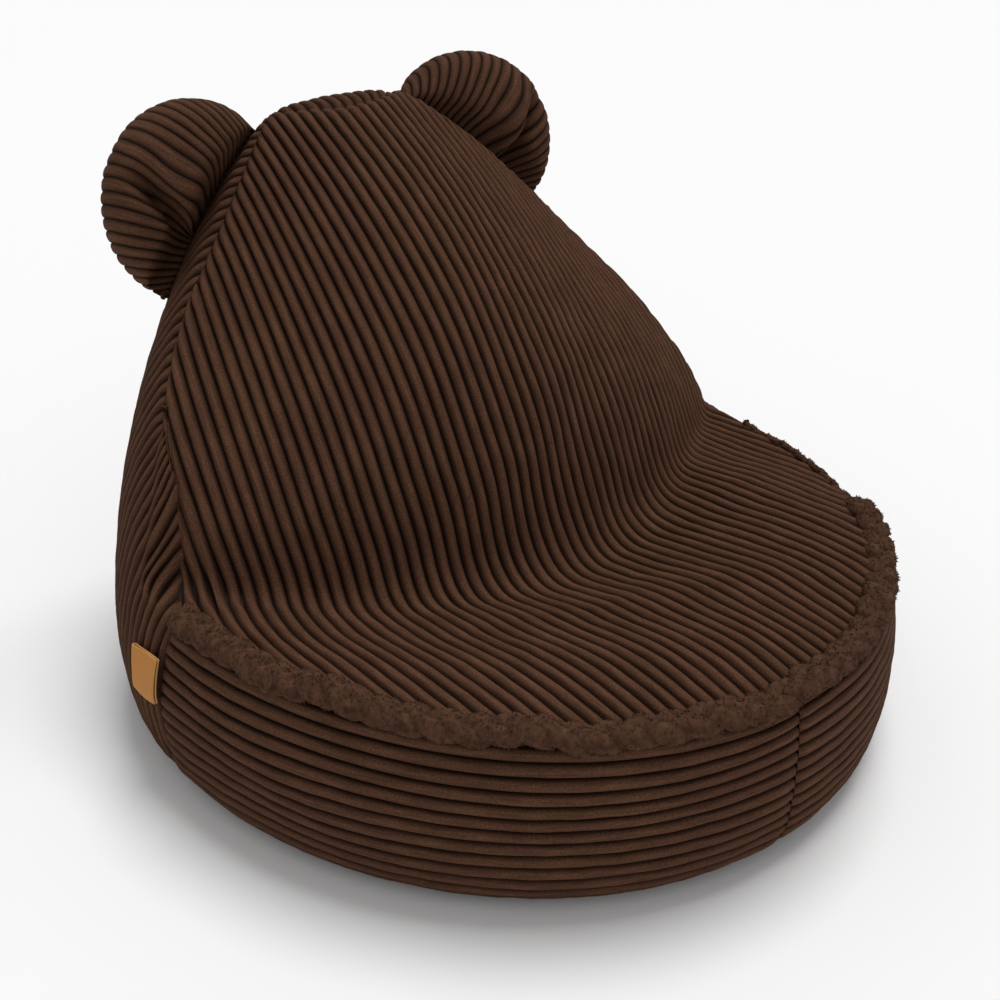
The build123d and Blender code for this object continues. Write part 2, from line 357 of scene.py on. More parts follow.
def speckled(name, colour, scale, contrast, roughness, depth, **settings):
    """A plain finish with grain: leather, tape, plastic, lining or fleece."""
    material, tree, shader = principled(name, Roughness=roughness, **settings)
    place = add(tree, "ShaderNodeTexCoord").outputs["Object"]
    grain = noise(tree, place, scale, 5.0)
    factor = calc(tree, "MULTIPLY_ADD", calc(tree, "SUBTRACT", grain, 0.5), contrast * 2, 1.0)
    tree.links.new(scaled(tree, colour, factor), shader.inputs["Base Color"])
    bump(tree, shader, grain, depth)
    return material


MATERIALS = {}
# Painted light: the seat's corduroy is the wall's colour made lighter, for the light that falls on its top
SEAT_PAINTED_LIGHT = 1.04
# Plain finishes: name, colour, grain size, contrast, roughness and depth
GRAINS = {
    "label_edge": ("Label cut edge", (0.55, 0.30, 0.10), 900.0, 0.2, 0.8, 0.0002),
    "tape": ("Zip tape", (0.03, 0.019, 0.013), 1200.0, 0.3, 0.85, 0.0003),
    "coil": ("Zip coil", (0.028, 0.018, 0.012), 500.0, 0.15, 0.4, 0.0001),
    "thread": ("Sewing thread", (0.04, 0.025, 0.017), 2500.0, 0.3, 0.7, 0.0001),
    # Painted shade: near black, so that gaps in the cover show as shadow
    "backing_painted_shade": ("Cover backing", (0.012, 0.006, 0.004), 900.0, 0.2, 0.95, 0.0003),
    "lining": ("Lining cloth", (0.82, 0.81, 0.77), 900.0, 0.06, 0.85, 0.0003),
    "beads": ("Bead filling", (0.93, 0.93, 0.92), 260.0, 0.08, 0.7, 0.002),
    "fibre": ("Fibre filling", (0.85, 0.84, 0.8), 180.0, 0.1, 0.95, 0.003),
}


def finishes(settings):
    """All finishes, made once."""
    if MATERIALS:
        return MATERIALS
    pile = pile_group()
    cord = tuple(settings.corduroy_colour)
    # The seat's copy is painted lighter than the wall's
    MATERIALS["seat"] = corduroy("Corduroy seat painted lighter", tuple(SEAT_PAINTED_LIGHT * c for c in cord), pile, groove=0.97)
    MATERIALS["wall"] = corduroy("Corduroy wall", cord, pile, groove=0.97)
    MATERIALS["ear"] = corduroy("Corduroy ear", cord, pile, groove=0.93)
    MATERIALS["roll"] = speckled(
        "Fluffy roll", tuple(settings.roll_colour), 150.0, 0.9, 0.95, 0.0012, Specular_IOR_Level=0.06
    )
    MATERIALS["label"] = speckled(
        "Label leather", tuple(settings.label_colour), 700.0, 0.12, 0.6, 0.0003, Specular_IOR_Level=0.12
    )
    MATERIALS["metal"] = speckled(
        "Lacquered metal", (0.05, 0.035, 0.025), 300.0, 0.15, 0.35, 0.0001, Metallic=0.6
    )
    for key, grain in GRAINS.items():
        MATERIALS[key] = speckled(*grain)
    return MATERIALS


# Sheets of cloth laid on the CAD model


def seat_rows(tree):
    """Right half of the seat panel: for each angle its points from the middle outwards."""
    rows = []
    for angle in SEAT_ANGLES:
        way = Vector((0, math.cos(angle), math.sin(angle)))

        def reach(x, way=way):
            return tree.ray_cast(Vector((x, SEAT_AXIS_Y, SEAT_AXIS_Z)), way, 1.0)[3]

        def place(x, r, way=way):
            return (x, SEAT_AXIS_Y + r * way.y, SEAT_AXIS_Z + r * way.z)

        rows.append(walk(reach, np.arange(0, 0.4, 0.004), place))
    return rows


def walk(reach, stations, place):
    """Points along one row, from its first station to the very edge of the CAD node."""
    found = []
    for station in stations:
        distance = reach(station)
        if distance is None:
            break
        found.append((station, distance))
    if len(found) < 3:
        return None
    inside, outside = found[-1][0], station
    for _ in range(8):
        middle = (inside + outside) / 2
        distance = reach(middle)
        if distance is None:
            outside = middle
        else:
            inside = middle
            last = (middle, distance)
    if inside > found[-1][0]:
        found.append(last)
    at, distance = np.array(found).T
    distance = even(distance, 6)
    return np.array([place(a, d) for a, d in zip(at, distance)])


def reach_from(tree, middle, way):
    """How far a CAD node's outside lies from a middle, or None beside it."""
    distance = tree.ray_cast(middle + way * 0.7, -way, 0.69)[3]
    return None if distance is None else 0.7 - distance


def wall_rows(tree, heights):
    """Right half of the back panel: for each height its points from the middle of the back."""
    rows = []
    for z in heights:
        middle = Vector((0, np.interp(z, [0, 0.25, 0.36, 0.466], [0.06, 0.15, 0.215, 0.246]), z))

        def reach(turn, middle=middle):
            return reach_from(tree, middle, Vector((math.sin(turn), math.cos(turn), 0)))

        def place(turn, r, middle=middle):
            return (r * math.sin(turn), middle.y + r * math.cos(turn), middle.z)

        rows.append(walk(reach, np.radians(np.arange(0, 165, 1.0)), place))
    return rows


def band_rows(tree):
    """Right half of the front: for each turn from the middle its points from the floor up."""
    rows = []
    for turn in np.radians(np.linspace(0.1, 93.3, 120)):
        way = Vector((math.sin(turn), -math.cos(turn), 0))

        def reach(z, way=way):
            return reach_from(tree, Vector((0, 0, z)), way)

        def place(z, r, way=way):
            return (r * way.x, r * way.y, z)

        rows.append(walk(reach, np.arange(WALL_FOOT, 0.2, 0.003), place))
    return rows


def row_lengths(row):
    return np.concatenate([[0], np.cumsum(np.linalg.norm(np.diff(row, axis=0), axis=1))])


def longest(rows):
    return max(row_lengths(row)[-1] for row in rows if row is not None)


def cut_columns(rows, targets, unbroken=False):
    """A line across the rows at each distance from their middle, trimmed at the panel's edge.

    An unbroken line ends at the first row, up or down from the longest one, that is too short for it.
    """
    rows = [r for r in rows if r is not None]
    lengths = [row_lengths(r) for r in rows]
    ends = np.array([length[-1] for length in lengths])
    peak = int(np.argmax(ends))
    columns = []
    for target in targets:
        held = np.where(ends >= target)[0]
        first, last = held[0], held[-1]
        if unbroken:
            short = np.where(ends < target)[0]
            first = max([k + 1 for k in short if k < peak], default=0)
            last = min([k - 1 for k in short if k > peak], default=len(rows) - 1)
        line = []
        if first > 0:
            t = (target - ends[first - 1]) / max(ends[first] - ends[first - 1], 1e-9)
            line.append(rows[first - 1][-1] * (1 - t) + rows[first][-1] * t)
        for k in range(first, last + 1):
            at = min(target, ends[k])
            line.append([np.interp(at, lengths[k], rows[k][:, axis]) for axis in range(3)])
        if last < len(rows) - 1:
            t = (target - ends[last + 1]) / max(ends[last] - ends[last + 1], 1e-9)
            line.append(rows[last + 1][-1] * (1 - t) + rows[last][-1] * t)
        columns.append(np.array(line, float))
    return columns


def edge_distance(points, *edges):
    """Distance of each point from the nearest of these edges' points."""
    edge = np.concatenate(edges)
    near = KDTree(len(edge))
    for k, point in enumerate(edge):
        near.insert(Vector(point), k)
    near.balance()
    return np.array([near.find(Vector(p))[2] for p in points])


def hem_of(grid, width, ends):
    """0 at a sheet's outline and 1 from this far inside it; the ends of its columns count by a share."""
    flat = grid.reshape(-1, 3)
    sides = smoothstep(0, width, edge_distance(flat, grid[0], grid[-1]))
    tips = smoothstep(0, width, edge_distance(flat, grid[:, 0], grid[:, -1]))
    return np.minimum(sides, 1 - ends * (1 - tips)).reshape(grid.shape[:2])


def slump(points):
    """Lets the right front edge sag, where the bag is not held up by the roll."""
    x, y, z = np.moveaxis(points, -1, 0)
    weight = smoothstep(0.19, 0.31, x) * smoothstep(-0.27, -0.13, y) * (1 - smoothstep(0.06, 0.17, y))
    sunk = np.array(points, float)
    sunk[..., 2] -= SAG * weight * smoothstep(0.08, 0.15, z)
    return sunk


def tucked_under(grid):
    """Draws the walls in where they meet the floor."""
    middle = np.array([0, FLOOR_CENTRE_Y, 0])
    pull = FLOOR_TUCK * np.clip(1 - grid[..., 2:] / 0.045, 0, 1) ** 2
    return grid + (middle - grid) * pull * np.array([1, 1, 0])


def wander(grid, reach):
    """Shifts the ribs sideways a little, as hand-laid cloth does."""
    across = np.gradient(grid, axis=0)
    across /= np.maximum(np.linalg.norm(across, axis=2, keepdims=True), 1e-9)
    x, y, z = np.moveaxis(grid, -1, 0)
    shift = 0.6 * np.sin(38 * (y - z) + 21 * x) + 0.4 * np.sin(83 * (z - 0.6 * y) - 37 * x)
    inner = np.minimum(1, np.minimum(np.arange(len(grid)), np.arange(len(grid))[::-1]) / 16)
    return grid + reach * (shift * inner[:, None])[:, :, None] * across


def relaxed(grid, passes):
    """Evens out a sheet across its ribs and keeps its two sides."""
    grid = np.array(grid)
    for _ in range(passes):
        grid[1:-1] = (grid[:-2] + 2 * grid[1:-1] + grid[2:]) / 4
    return grid


def joined_halves(left, right):
    """One sheet, left to right, from the columns and ribs of two halves that both lie on the right."""
    flip = left[0][:0:-1].copy()
    flip[:, :, 0] *= -1
    return np.concatenate([flip, right[0]]), np.concatenate([-left[1][:0:-1], right[1]])


def shoulder(side, angle):
    """How far the wall's cloth reaches over the seat's edge at an angle of the seat's fan."""
    return SHOULDER_SHARE[side] * np.interp(angle, SHOULDER_ANGLES, SHOULDER_REACH)


def trimmed(row, margin):
    """A row cut short by this length at its outer end."""
    if row is None or margin <= 0:
        return row
    lengths = row_lengths(row)
    end = lengths[-1] - margin
    tip = [np.interp(end, lengths, row[:, k]) for k in range(3)]
    return np.concatenate([row[lengths < end - 0.0005], [tip]])


def cloth_piece(name, grid, phases, cloth, settings, ends=1.0, flip=False, limit=1.0, **ribs):
    """A ribbed cloth panel with some thickness, made from a grid laid on the CAD model."""
    wale = np.repeat(phases[:, None], grid.shape[1], axis=1)
    if flip:
        grid, wale = grid[::-1], wale[::-1]
    hem = np.minimum(hem_of(grid, HEM_WIDTH, ends), limit)
    run = np.cumsum(np.linalg.norm(np.diff(grid, axis=1, prepend=grid[:, :1]), axis=2), axis=1)
    piece = new_object(name, grid_mesh(name, grid, {"wale": wale, "hem": hem, "run": run}))
    values = {"Depth": settings.wale_depth, "Cloth": cloth, **ribs}
    use_tree(piece, shared_tree("Corduroy ribs", corduroy_tree), **values)
    shell = piece.modifiers.new("Cloth thickness", "SOLIDIFY")
    shell.thickness = settings.cloth_thickness
    shell.offset = -1.0
    return settle(piece)


def shared_tree(name, build):
    return bpy.data.node_groups.get(name) or build()


def declare(piece, body, slot, *nodes):
    """Names the body a piece moves with and hides the CAD nodes it stands for; the slot of its finish is not
    used.
    """
    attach(piece, body)
    if nodes:
        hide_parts(*nodes)
    return piece


# Settings


class BeanBagSettings(bpy.types.PropertyGroup):
    """Sizes and colours of the chair's looks"""

    wale_pitch: FloatProperty(
        name="Rib pitch", description="From one groove of the corduroy to the next",
        default=0.0115, min=0.004, max=0.03, unit="LENGTH",
    )
    wale_depth: FloatProperty(
        name="Rib depth", description="Depth of the grooves between the ribs",
        default=0.0055, min=0.0, max=0.01, unit="LENGTH",
    )
    cloth_thickness: FloatProperty(
        name="Cloth thickness", description="Thickness of the cover below the grooves",
        default=0.0014, min=0.0005, max=0.01, unit="LENGTH",
    )
    corduroy_colour: FloatVectorProperty(
        name="Corduroy", description="Colour of the cover", subtype="COLOR",
        default=(0.078, 0.0362, 0.0205), min=0, max=1,
    )
    roll_colour: FloatVectorProperty(
        name="Edge roll", description="Colour of the fluffy roll", subtype="COLOR",
        default=(0.072, 0.035, 0.0205), min=0, max=1,
    )
    label_colour: FloatVectorProperty(
        name="Label", description="Colour of the leather label", subtype="COLOR",
        default=(0.49, 0.205, 0.04), min=0, max=1,
    )
    roll_plaits: IntProperty(
        name="Roll turns", description="Turns of the plait along the front edge", default=15, min=1, max=200,
    )


def settings_of(context):
    return context.scene.bean_bag


# Pieces


class BEANBAG_OT_seat(bpy.types.Operator):
    """Lays the ribbed seat and backrest panel on the bag"""

    bl_idname = "bean_bag.seat"
    bl_label = "Seat panel"

    def execute(self, context):
        settings = settings_of(context)
        rows = seat_rows(cad_tree("seat_panel"))
        halves = []
        for side in ("left", "right"):
            own = [trimmed(row, shoulder(side, angle)) for row, angle in zip(rows, SEAT_ANGLES)]
            phases = rib_phases(0.5, 0.5 + (longest(own) - EDGE_MARGIN) / settings.wale_pitch) - 0.5
            lines = cut_columns(own, phases * settings.wale_pitch, unbroken=True)
            along = np.linspace(0, 1, SEAT_POINTS)
            halves.append((np.array([resample(line, along) for line in lines]), phases))
        grid, phases = joined_halves(*halves)
        grid = wander(relaxed(slump(grid), 4), 0.0022)
        cloth = finishes(settings)["seat"]
        piece = cloth_piece("seat_panel_cloth", grid, phases + 0.5, cloth, settings, Pucker=SEAM_PUCKER)
        declare(piece, "bag", "corduroy_seat", "seat_panel")
        return {"FINISHED"}


def carried_on(line, more):
    """A line with more points after it and a rounded bend between them."""
    line = np.concatenate([line, np.array(more).reshape(-1, 3)])
    fine = resample(line, np.linspace(0, 1, 240))
    return np.stack([even(fine[:, k], 60) for k in range(3)], axis=1)


def over_top(line, side, wall, seat):
    """Carries a line of the wall on over the crown or the shoulder to the seam on the seat's side."""
    x, y, z = line[-1]
    if z > CROWN_Z:
        more = []
        while y > 0.15:
            y -= 0.003
            hit = wall.ray_cast(Vector((x, y, 0.6)), Vector((0, 0, -1)), 0.15)[0]
            if hit is None:
                break
            more.append((x, y, hit.z))
        return carried_on(line, more) if more else line
    start = math.atan2(z - SEAT_AXIS_Z, y - SEAT_AXIS_Y)
    meets = np.interp(start, SHOULDER_STARTS, SHOULDER_MEETS)
    if y < SIDE_SEAM_Y + 0.002 or shoulder(side, start) <= 0:
        return line
    more = []
    for share in np.linspace(0.1, 1, 10):
        angle = start + share * (meets - start)
        row = seat[int(np.argmin(np.abs(SEAT_ANGLES - angle)))]
        lengths = row_lengths(row)
        depth = shoulder(side, angle)
        inwards = lengths[-1] - share * (depth + min(SHOULDER_OVERLAP, depth / 3))
        more.append([np.interp(inwards, lengths, row[:, k]) for k in range(3)])
    return carried_on(line, more)


class BEANBAG_OT_walls(bpy.types.Operator):
    """Wraps the back panel and the two front bands round the bag"""

    bl_idname = "bean_bag.walls"
    bl_label = "Back panel and front bands"

    def execute(self, context):
        settings = settings_of(context)
        pitch, cloth = settings.wale_pitch, finishes(settings)["wall"]
        tree = cad_tree("back_panel")
        rows = wall_rows(tree, np.linspace(WALL_FOOT, WALL_TOP, 116))
        phases = rib_phases(0, (longest(rows) - EDGE_MARGIN) / pitch)
        lines = cut_columns(rows, phases * pitch)
        seat = seat_rows(cad_tree("seat_panel"))
        halves = []
        closer_at_top = 1 - (1 - np.linspace(0, 1, WALL_POINTS)) ** 1.5
        for side in ("left", "right"):
            over = [over_top(line, side, tree, seat) for line in lines]
            halves.append((np.array([resample(line, closer_at_top) for line in over]), phases))
        grid, phases = joined_halves(*halves)
        grid = wander(tucked_under(relaxed(slump(grid), 4)), 0.0015)
        hems = {"flip": True, "Pucker": SEAM_PUCKER}
        piece = cloth_piece("back_panel_cloth", grid, phases, cloth, settings, **hems)
        declare(piece, "bag", "corduroy_wall", "back_panel")

        rows = band_rows(cad_tree("front_band_right"))
        tall = (longest(rows) - EDGE_MARGIN) / pitch
        for side, lowest in (("right", 0.4), ("left", 0.4 + 0.3)):
            phases = rib_phases(lowest, tall + lowest)
            lines = cut_columns(rows, (phases - phases[0]) * pitch)
            grid = np.array([resample(line, np.linspace(0, 1, BAND_POINTS)) for line in lines])
            if side == "left":
                grid[:, :, 0] *= -1
            grid = wander(tucked_under(slump(grid)), 0.0015)
            name = f"front_band_{side}"
            hems = {"flip": side == "right", **BAND_HEMS}
            piece = cloth_piece(name + "_cloth", grid, phases, cloth, settings, **hems)
            declare(piece, "bag", "corduroy_wall", name)
        return {"FINISHED"}


class BEANBAG_OT_base(bpy.types.Operator):
    """Closes the cover underneath, on both sides of the zip"""

    bl_idname = "bean_bag.base"
    bl_label = "Base"

    def execute(self, context):
        settings = settings_of(context)
        pitch, cloth = settings.wale_pitch, finishes(settings)["wall"]
        for name, side, reach in (("base_front", -1, FLOOR_FRONT), ("base_rear", 1, FLOOR_REAR)):
            cut = max(0.0, side * (ZIP_Y - FLOOR_CENTRE_Y)) / reach
            reach, wide = reach * (1 - FLOOR_TUCK), FLOOR_HALF_WIDTH * (1 - FLOOR_TUCK)
            half_width = wide * math.sqrt(1 - cut * cut) - 0.002
            phases = rib_phases(-half_width / pitch, half_width / pitch)
            x = phases * pitch
            outer = FLOOR_CENTRE_Y + side * reach * np.sqrt(1 - (x / wide) ** 2)
            inner = np.where(np.abs(x) < ZIP_HALF, ZIP_Y + side * ZIP_SLOT / 2, ZIP_Y)
            along = np.linspace(0, 1, BASE_POINTS)[None, :]
            y = inner[:, None] + (outer - inner)[:, None] * along
            x = np.repeat(x[:, None], BASE_POINTS, axis=1)
            grid = np.stack([x, y, np.full(y.shape, 0.0006)], axis=-1)
            hems = {"flip": side > 0, "Lumps": 0.0006}
            piece = cloth_piece(name + "_cloth", grid, phases, cloth, settings, **hems)
            declare(piece, "bag", "corduroy_wall", name)
        return {"FINISHED"}


def plait_tree():
    """Three strands plaited along a path."""
    tree = bpy.data.node_groups.new("Plaited roll", "GeometryNodeTree")
    socket(tree, "Geometry", "NodeSocketGeometry")
    sizes = {"Turns": 30.0, "Strand": 0.0082, "Width": 0.0055, "Rise": 0.0022, "Lumps": 0.007}
    for name, size in sizes.items():
        socket(tree, name, "NodeSocketFloat", size)
    socket(tree, "Fluff", "NodeSocketMaterial")
    socket(tree, "Geometry", "NodeSocketGeometry", way="OUTPUT")
    given = add(tree, "NodeGroupInput").outputs
    path = add(tree, "GeometryNodeMeshToCurve", {0: given["Geometry"]}).outputs[0]
    path = add(tree, "GeometryNodeResampleCurve", {"Curve": path, "Count": 900}).outputs[0]
    path = add(tree, "GeometryNodeSetCurveNormal", {"Curve": path}, mode="Z_UP").outputs[0]
    along = add(tree, "GeometryNodeSplineParameter").outputs["Factor"]
    side = add(tree, "GeometryNodeInputNormal").outputs[0]
    girth = on_points(tree, "girth")
    ring = add(tree, "GeometryNodeCurvePrimitiveCircle", {"Resolution": 12, "Radius": given["Strand"]})
    joined = add(tree, "GeometryNodeJoinGeometry")
    for strand in range(3):
        turn = calc(tree, "MULTIPLY", calc(tree, "MULTIPLY", along, given["Turns"]), math.tau)
        turn = calc(tree, "ADD", turn, math.tau * strand / 3)
        swing = calc(tree, "MULTIPLY", given["Width"], girth)
        across = calc(tree, "MULTIPLY", calc(tree, "SINE", turn), swing)
        rise = calc(tree, "MULTIPLY", calc(tree, "SINE", calc(tree, "MULTIPLY", turn, 2.0)), given["Rise"])
        lift = add(tree, "ShaderNodeCombineXYZ", {"Z": rise}).outputs[0]
        shift = {0: scaled(tree, side, across), 1: lift}
        shift = add(tree, "ShaderNodeVectorMath", shift, operation="ADD").outputs[0]
        moved = add(tree, "GeometryNodeSetPosition", {"Geometry": path, "Offset": shift}).outputs[0]
        feeds = {"Curve": moved, "Profile Curve": ring.outputs[0], "Fill Caps": True}
        tube = add(tree, "GeometryNodeCurveToMesh", feeds).outputs[0]
        tree.links.new(tube, joined.inputs[0])
    place = add(tree, "GeometryNodeInputPosition").outputs[0]
    lumps = unevenness(tree, noise(tree, place, 60.0, 3.0, Roughness=0.6), given["Lumps"])
    slack = calc(tree, "MULTIPLY", given["Strand"], 0.75)
    pinch = calc(tree, "MULTIPLY", calc(tree, "SUBTRACT", girth, 1.0), slack)
    normal = add(tree, "GeometryNodeInputNormal").outputs[0]
    swell = calc(tree, "MULTIPLY_ADD", lumps, girth, pinch)
    offset = scaled(tree, normal, swell)
    rough = add(tree, "GeometryNodeSetPosition", {"Geometry": joined.outputs[0], "Offset": offset})
    soft = add(tree, "GeometryNodeSetShadeSmooth", {0: rough.outputs[0]}).outputs[0]
    roots = add(tree, "GeometryNodeDistributePointsOnFaces", {"Mesh": soft, "Density": 90000.0, "Seed": 4})
    tilt = {"Min": (-1.2, -1.2, -1.2), "Max": (1.2, 1.2, 1.2)}
    tilt = add(tree, "FunctionNodeRandomValue", tilt, data_type="FLOAT_VECTOR").outputs[0]
    tilt = add(tree, "FunctionNodeEulerToRotation", {0: tilt}).outputs[0]
    lean = {0: roots.outputs["Rotation"], 1: tilt}
    lean = add(tree, "FunctionNodeRotateRotation", lean, rotation_space="LOCAL")
    hair = {"Vertices": 3, "Radius Top": 0.0, "Radius Bottom": 0.0006, "Depth": 0.0022}
    hair = add(tree, "GeometryNodeMeshCone", hair, fill_type="NONE").outputs[0]
    hairs = {"Points": roots.outputs["Points"], "Instance": hair, "Rotation": lean.outputs[0]}
    hairs = add(tree, "GeometryNodeInstanceOnPoints", hairs).outputs[0]
    hairs = add(tree, "GeometryNodeRealizeInstances", {0: hairs}).outputs[0]
    fluffy = add(tree, "GeometryNodeJoinGeometry")
    tree.links.new(soft, fluffy.inputs[0])
    tree.links.new(hairs, fluffy.inputs[0])
    dressed = add(tree, "GeometryNodeSetMaterial", {0: fluffy.outputs[0], "Material": given["Fluff"]})
    add(tree, "NodeGroupOutput", {0: dressed.outputs[0]})
    return tree


class BEANBAG_OT_edge_roll(bpy.types.Operator):
    """Plaits the fluffy roll along the seat's front edge"""

    bl_idname = "bean_bag.edge_roll"
    bl_label = "Edge roll"

    def execute(self, context):
        settings = settings_of(context)
        end = math.acos((ROLL_CENTRE_Y - SIDE_SEAM_Y) / ROLL_DEPTH)
        turn = np.linspace(-end, end, 160)
        path = np.stack(
            [
                ROLL_HALF_WIDTH * np.sin(turn),
                ROLL_CENTRE_Y - ROLL_DEPTH * np.cos(turn),
                ROLL_Z + 0.0025 * np.sin(turn * 17) + 0.0015 * np.sin(turn * 29 + 1),
            ],
            axis=1,
        )
        path = slump(path)
        mesh = bpy.data.meshes.new("seat_edge_roll_plait")
        mesh.from_pydata(path.tolist(), [(k, k + 1) for k in range(len(path) - 1)], [])
        girth = mesh.attributes.new("girth", "FLOAT", "POINT")
        girth.data.foreach_set("value", 1 - 0.85 * smoothstep(ROLL_PINCH[0], ROLL_PINCH[1], turn))
        piece = new_object("seat_edge_roll_plait", mesh)
        values = {"Turns": float(settings.roll_plaits), "Fluff": finishes(settings)["roll"]}
        use_tree(piece, plait_tree(), **values)
        settle(piece)
        declare(piece, "bag", "edge_roll", "seat_edge_roll")
        return {"FINISHED"}


def ear_plane():
    """Middle, outward, across and facing directions of the right ear."""
    level = math.cos(EAR_TILT)
    face = Vector((-math.sin(EAR_TURN) * level, -math.cos(EAR_TURN) * level, math.sin(EAR_TILT)))
    out = Vector((math.cos(EAR_LEAN), 0, math.sin(EAR_LEAN)))
    across = face.cross(out).normalized()
    return EAR_CENTRE, across.cross(face), across, face


class BEANBAG_OT_ears(bpy.types.Operator):
    """Sews the two pleated ears, whose ribs fan out from the base to the rim"""

    bl_idname = "bean_bag.ears"
    bl_label = "Ears"

    def execute(self, context):
        settings = settings_of(context)
        cloth = finishes(settings)["ear"]
        middle, out, across, face = ear_plane()
        tree = cad_tree("right_ear_front", "right_ear_back")
        base = (EAR_HINGE - middle).dot(out) + 0.0005
        base_half = math.sqrt(EAR_RADIUS**2 - base**2)
        widest = math.acos(base / EAR_RADIUS)
        ribs = widest * EAR_RADIUS / settings.wale_pitch
        phases = rib_phases(-ribs + 0.15, ribs - 0.15)
        halves = []
        for sign in (1, -1):
            lines = []
            for share in phases / ribs:
                foot = np.array([base, share * base_half])
                rim = EAR_RADIUS * 0.999 * np.array([math.cos(share * widest), math.sin(share * widest)])
                line = []
                for t in 1 - (1 - np.linspace(0, 1, 70)) ** 2:
                    x, y = (float(v) for v in foot + (rim - foot) * t)
                    above = middle + x * out + y * across
                    drop = tree.ray_cast(above + sign * 0.2 * face, -sign * face, 0.2)[3]
                    height = 0.0 if drop is None or t > 0.9995 else 0.2 - drop
                    if sign > 0:
                        height, y = pleat(height, x, y)
                    else:
                        height *= 0.1 + 0.9 * float(smoothstep(-0.002, 0.020, x - base))
                    line.append((middle + x * out + y * across + sign * height * face)[:])
                lines.append(resample(np.array(line), np.linspace(0, 1, EAR_POINTS)))
            halves.append(np.array(lines))
        grid = np.concatenate([halves[0], halves[1][:, -2::-1]], axis=1)
        grid = np.array([[even(line[:, k], 14) for k in range(3)] for line in grid]).transpose(0, 2, 1)
        sewn_in = EAR_SEWN_IN * np.array(out)
        grid = np.concatenate([grid[:, :1] - sewn_in, grid, grid[:, -1:] - sewn_in], axis=1)
        from_rim = np.abs(np.arange(grid.shape[1]) - grid.shape[1] // 2)[None, :]
        flat_rim = 0.2 + 0.8 * smoothstep(0, 11, from_rim)
        for hand, mirror in (("right", 1), ("left", -1)):
            own = wander(relaxed(grid, 2) * np.array([mirror, 1, 1]), 0.0012)
            fit = {"flip": mirror > 0, "limit": flat_rim, **EAR_RIBS}
            piece = cloth_piece(f"{hand}_ear_cloth", own, phases, cloth, settings, **fit)
            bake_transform(piece)
            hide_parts(f"{hand}_ear_front", f"{hand}_ear_back")
        return {"FINISHED"}


def pleat(height, out, across):
    """The deep fold across an ear's face, with the lobe above it hanging over."""
    middle = np.interp(out, PLEAT_OUT, PLEAT_ACROSS)
    fade = 1 - 0.8 * smoothstep(0.05, 0.088, out)
    off = across - middle
    fold = math.exp(-(((off + 0.003) / PLEAT_WIDTH) ** 2))
    lobe = fade * math.exp(-(((off - LOBE_OFF) / PLEAT_WIDTH) ** 2))
    sunk = fade * fold * min(0.75 * height, PLEAT_DEPTH)
    height = height - sunk + LOBE_RISE * lobe * min(1, height / 0.02)
    return float(height), float(across - LOBE_HANG * lobe)


class BEANBAG_OT_label(bpy.types.Operator):
    """Folds the bare leather label over the left side seam"""

    bl_idname = "bean_bag.label"
    bl_label = "Label"

    def execute(self, context):
        materials = finishes(settings_of(context))
        tree = cad_tree("back_panel", "front_band_left")
        far = SIDE_SEAM_Y + LABEL_LONG
        leaf = np.linspace(SIDE_SEAM_Y + 0.0008, far - LABEL_FOLD, 22)
        bend = np.radians(np.linspace(-90, 90, 9)[1:-1])
        path = [(y, 0.0031) for y in leaf]
        path += [(leaf[-1] + 0.0012 * math.cos(a), 0.0021 - 0.001 * math.sin(a)) for a in bend]
        path += [(y, 0.0011) for y in leaf[::-1]]
        lines = []
        for z in np.linspace(LABEL_LOW, LABEL_HIGH, 20):
            high = (z - LABEL_LOW) / (LABEL_HIGH - LABEL_LOW)
            line = []
            for y, gap in path:
                wall = tree.ray_cast(Vector((-0.5, y, z)), Vector((1, 0, 0)), 0.4)[0].x
                along = (y - SIDE_SEAM_Y) / LABEL_LONG
                lift = 0.0016 * along**2 + 0.0008 * math.sin(5 * along + 3 * high)
                line.append((wall - gap - lift * min(1, gap / 0.002), y, z + LABEL_TILT * (1 - along)))
            lines.append(line)
        piece = new_object("label_tab_leather", grid_mesh("label_tab_leather", np.array(lines)))
        piece.data.materials.append(materials["label"])
        piece.data.materials.append(materials["label_edge"])
        shell = piece.modifiers.new("Leather thickness", "SOLIDIFY")
        shell.thickness, shell.offset, shell.material_offset_rim = LABEL_LEATHER, 0.0, 1
        settle(piece)
        piece.data.shade_smooth()
        declare(piece, "label", "label_leather", "label_tab")
        return {"FINISHED"}


def row_tree():
    """Small rounded beads in a row: stitches, or the turns of a zip's coil."""
    tree = bpy.data.node_groups.new("Row of beads", "GeometryNodeTree")
    socket(tree, "Geometry", "NodeSocketGeometry")
    socket(tree, "Size", "NodeSocketVector", (0.001, 0.001, 0.001))
    socket(tree, "Finish", "NodeSocketMaterial")
    socket(tree, "Geometry", "NodeSocketGeometry", way="OUTPUT")
    given = add(tree, "NodeGroupInput").outputs
    bead = add(tree, "GeometryNodeMeshUVSphere", {"Segments": 8, "Rings": 5, "Radius": 0.5}).outputs[0]
    feeds = {"Points": given["Geometry"], "Instance": bead, "Scale": given["Size"]}
    beads = add(tree, "GeometryNodeInstanceOnPoints", feeds).outputs[0]
    real = add(tree, "GeometryNodeRealizeInstances", {0: beads}).outputs[0]
    soft = add(tree, "GeometryNodeSetShadeSmooth", {0: real}).outputs[0]
    dressed = add(tree, "GeometryNodeSetMaterial", {0: soft, "Material": given["Finish"]})
    add(tree, "NodeGroupOutput", {0: dressed.outputs[0]})
    return tree


def beads(name, points, size, finish):
    """A row of beads at these points, as one plain mesh."""
    mesh = bpy.data.meshes.new(name)
    mesh.from_pydata([tuple(p) for p in points], [], [])
    piece = new_object(name, mesh)
    use_tree(piece, shared_tree("Row of beads", row_tree), Size=size, Finish=finish)
    return settle(piece)


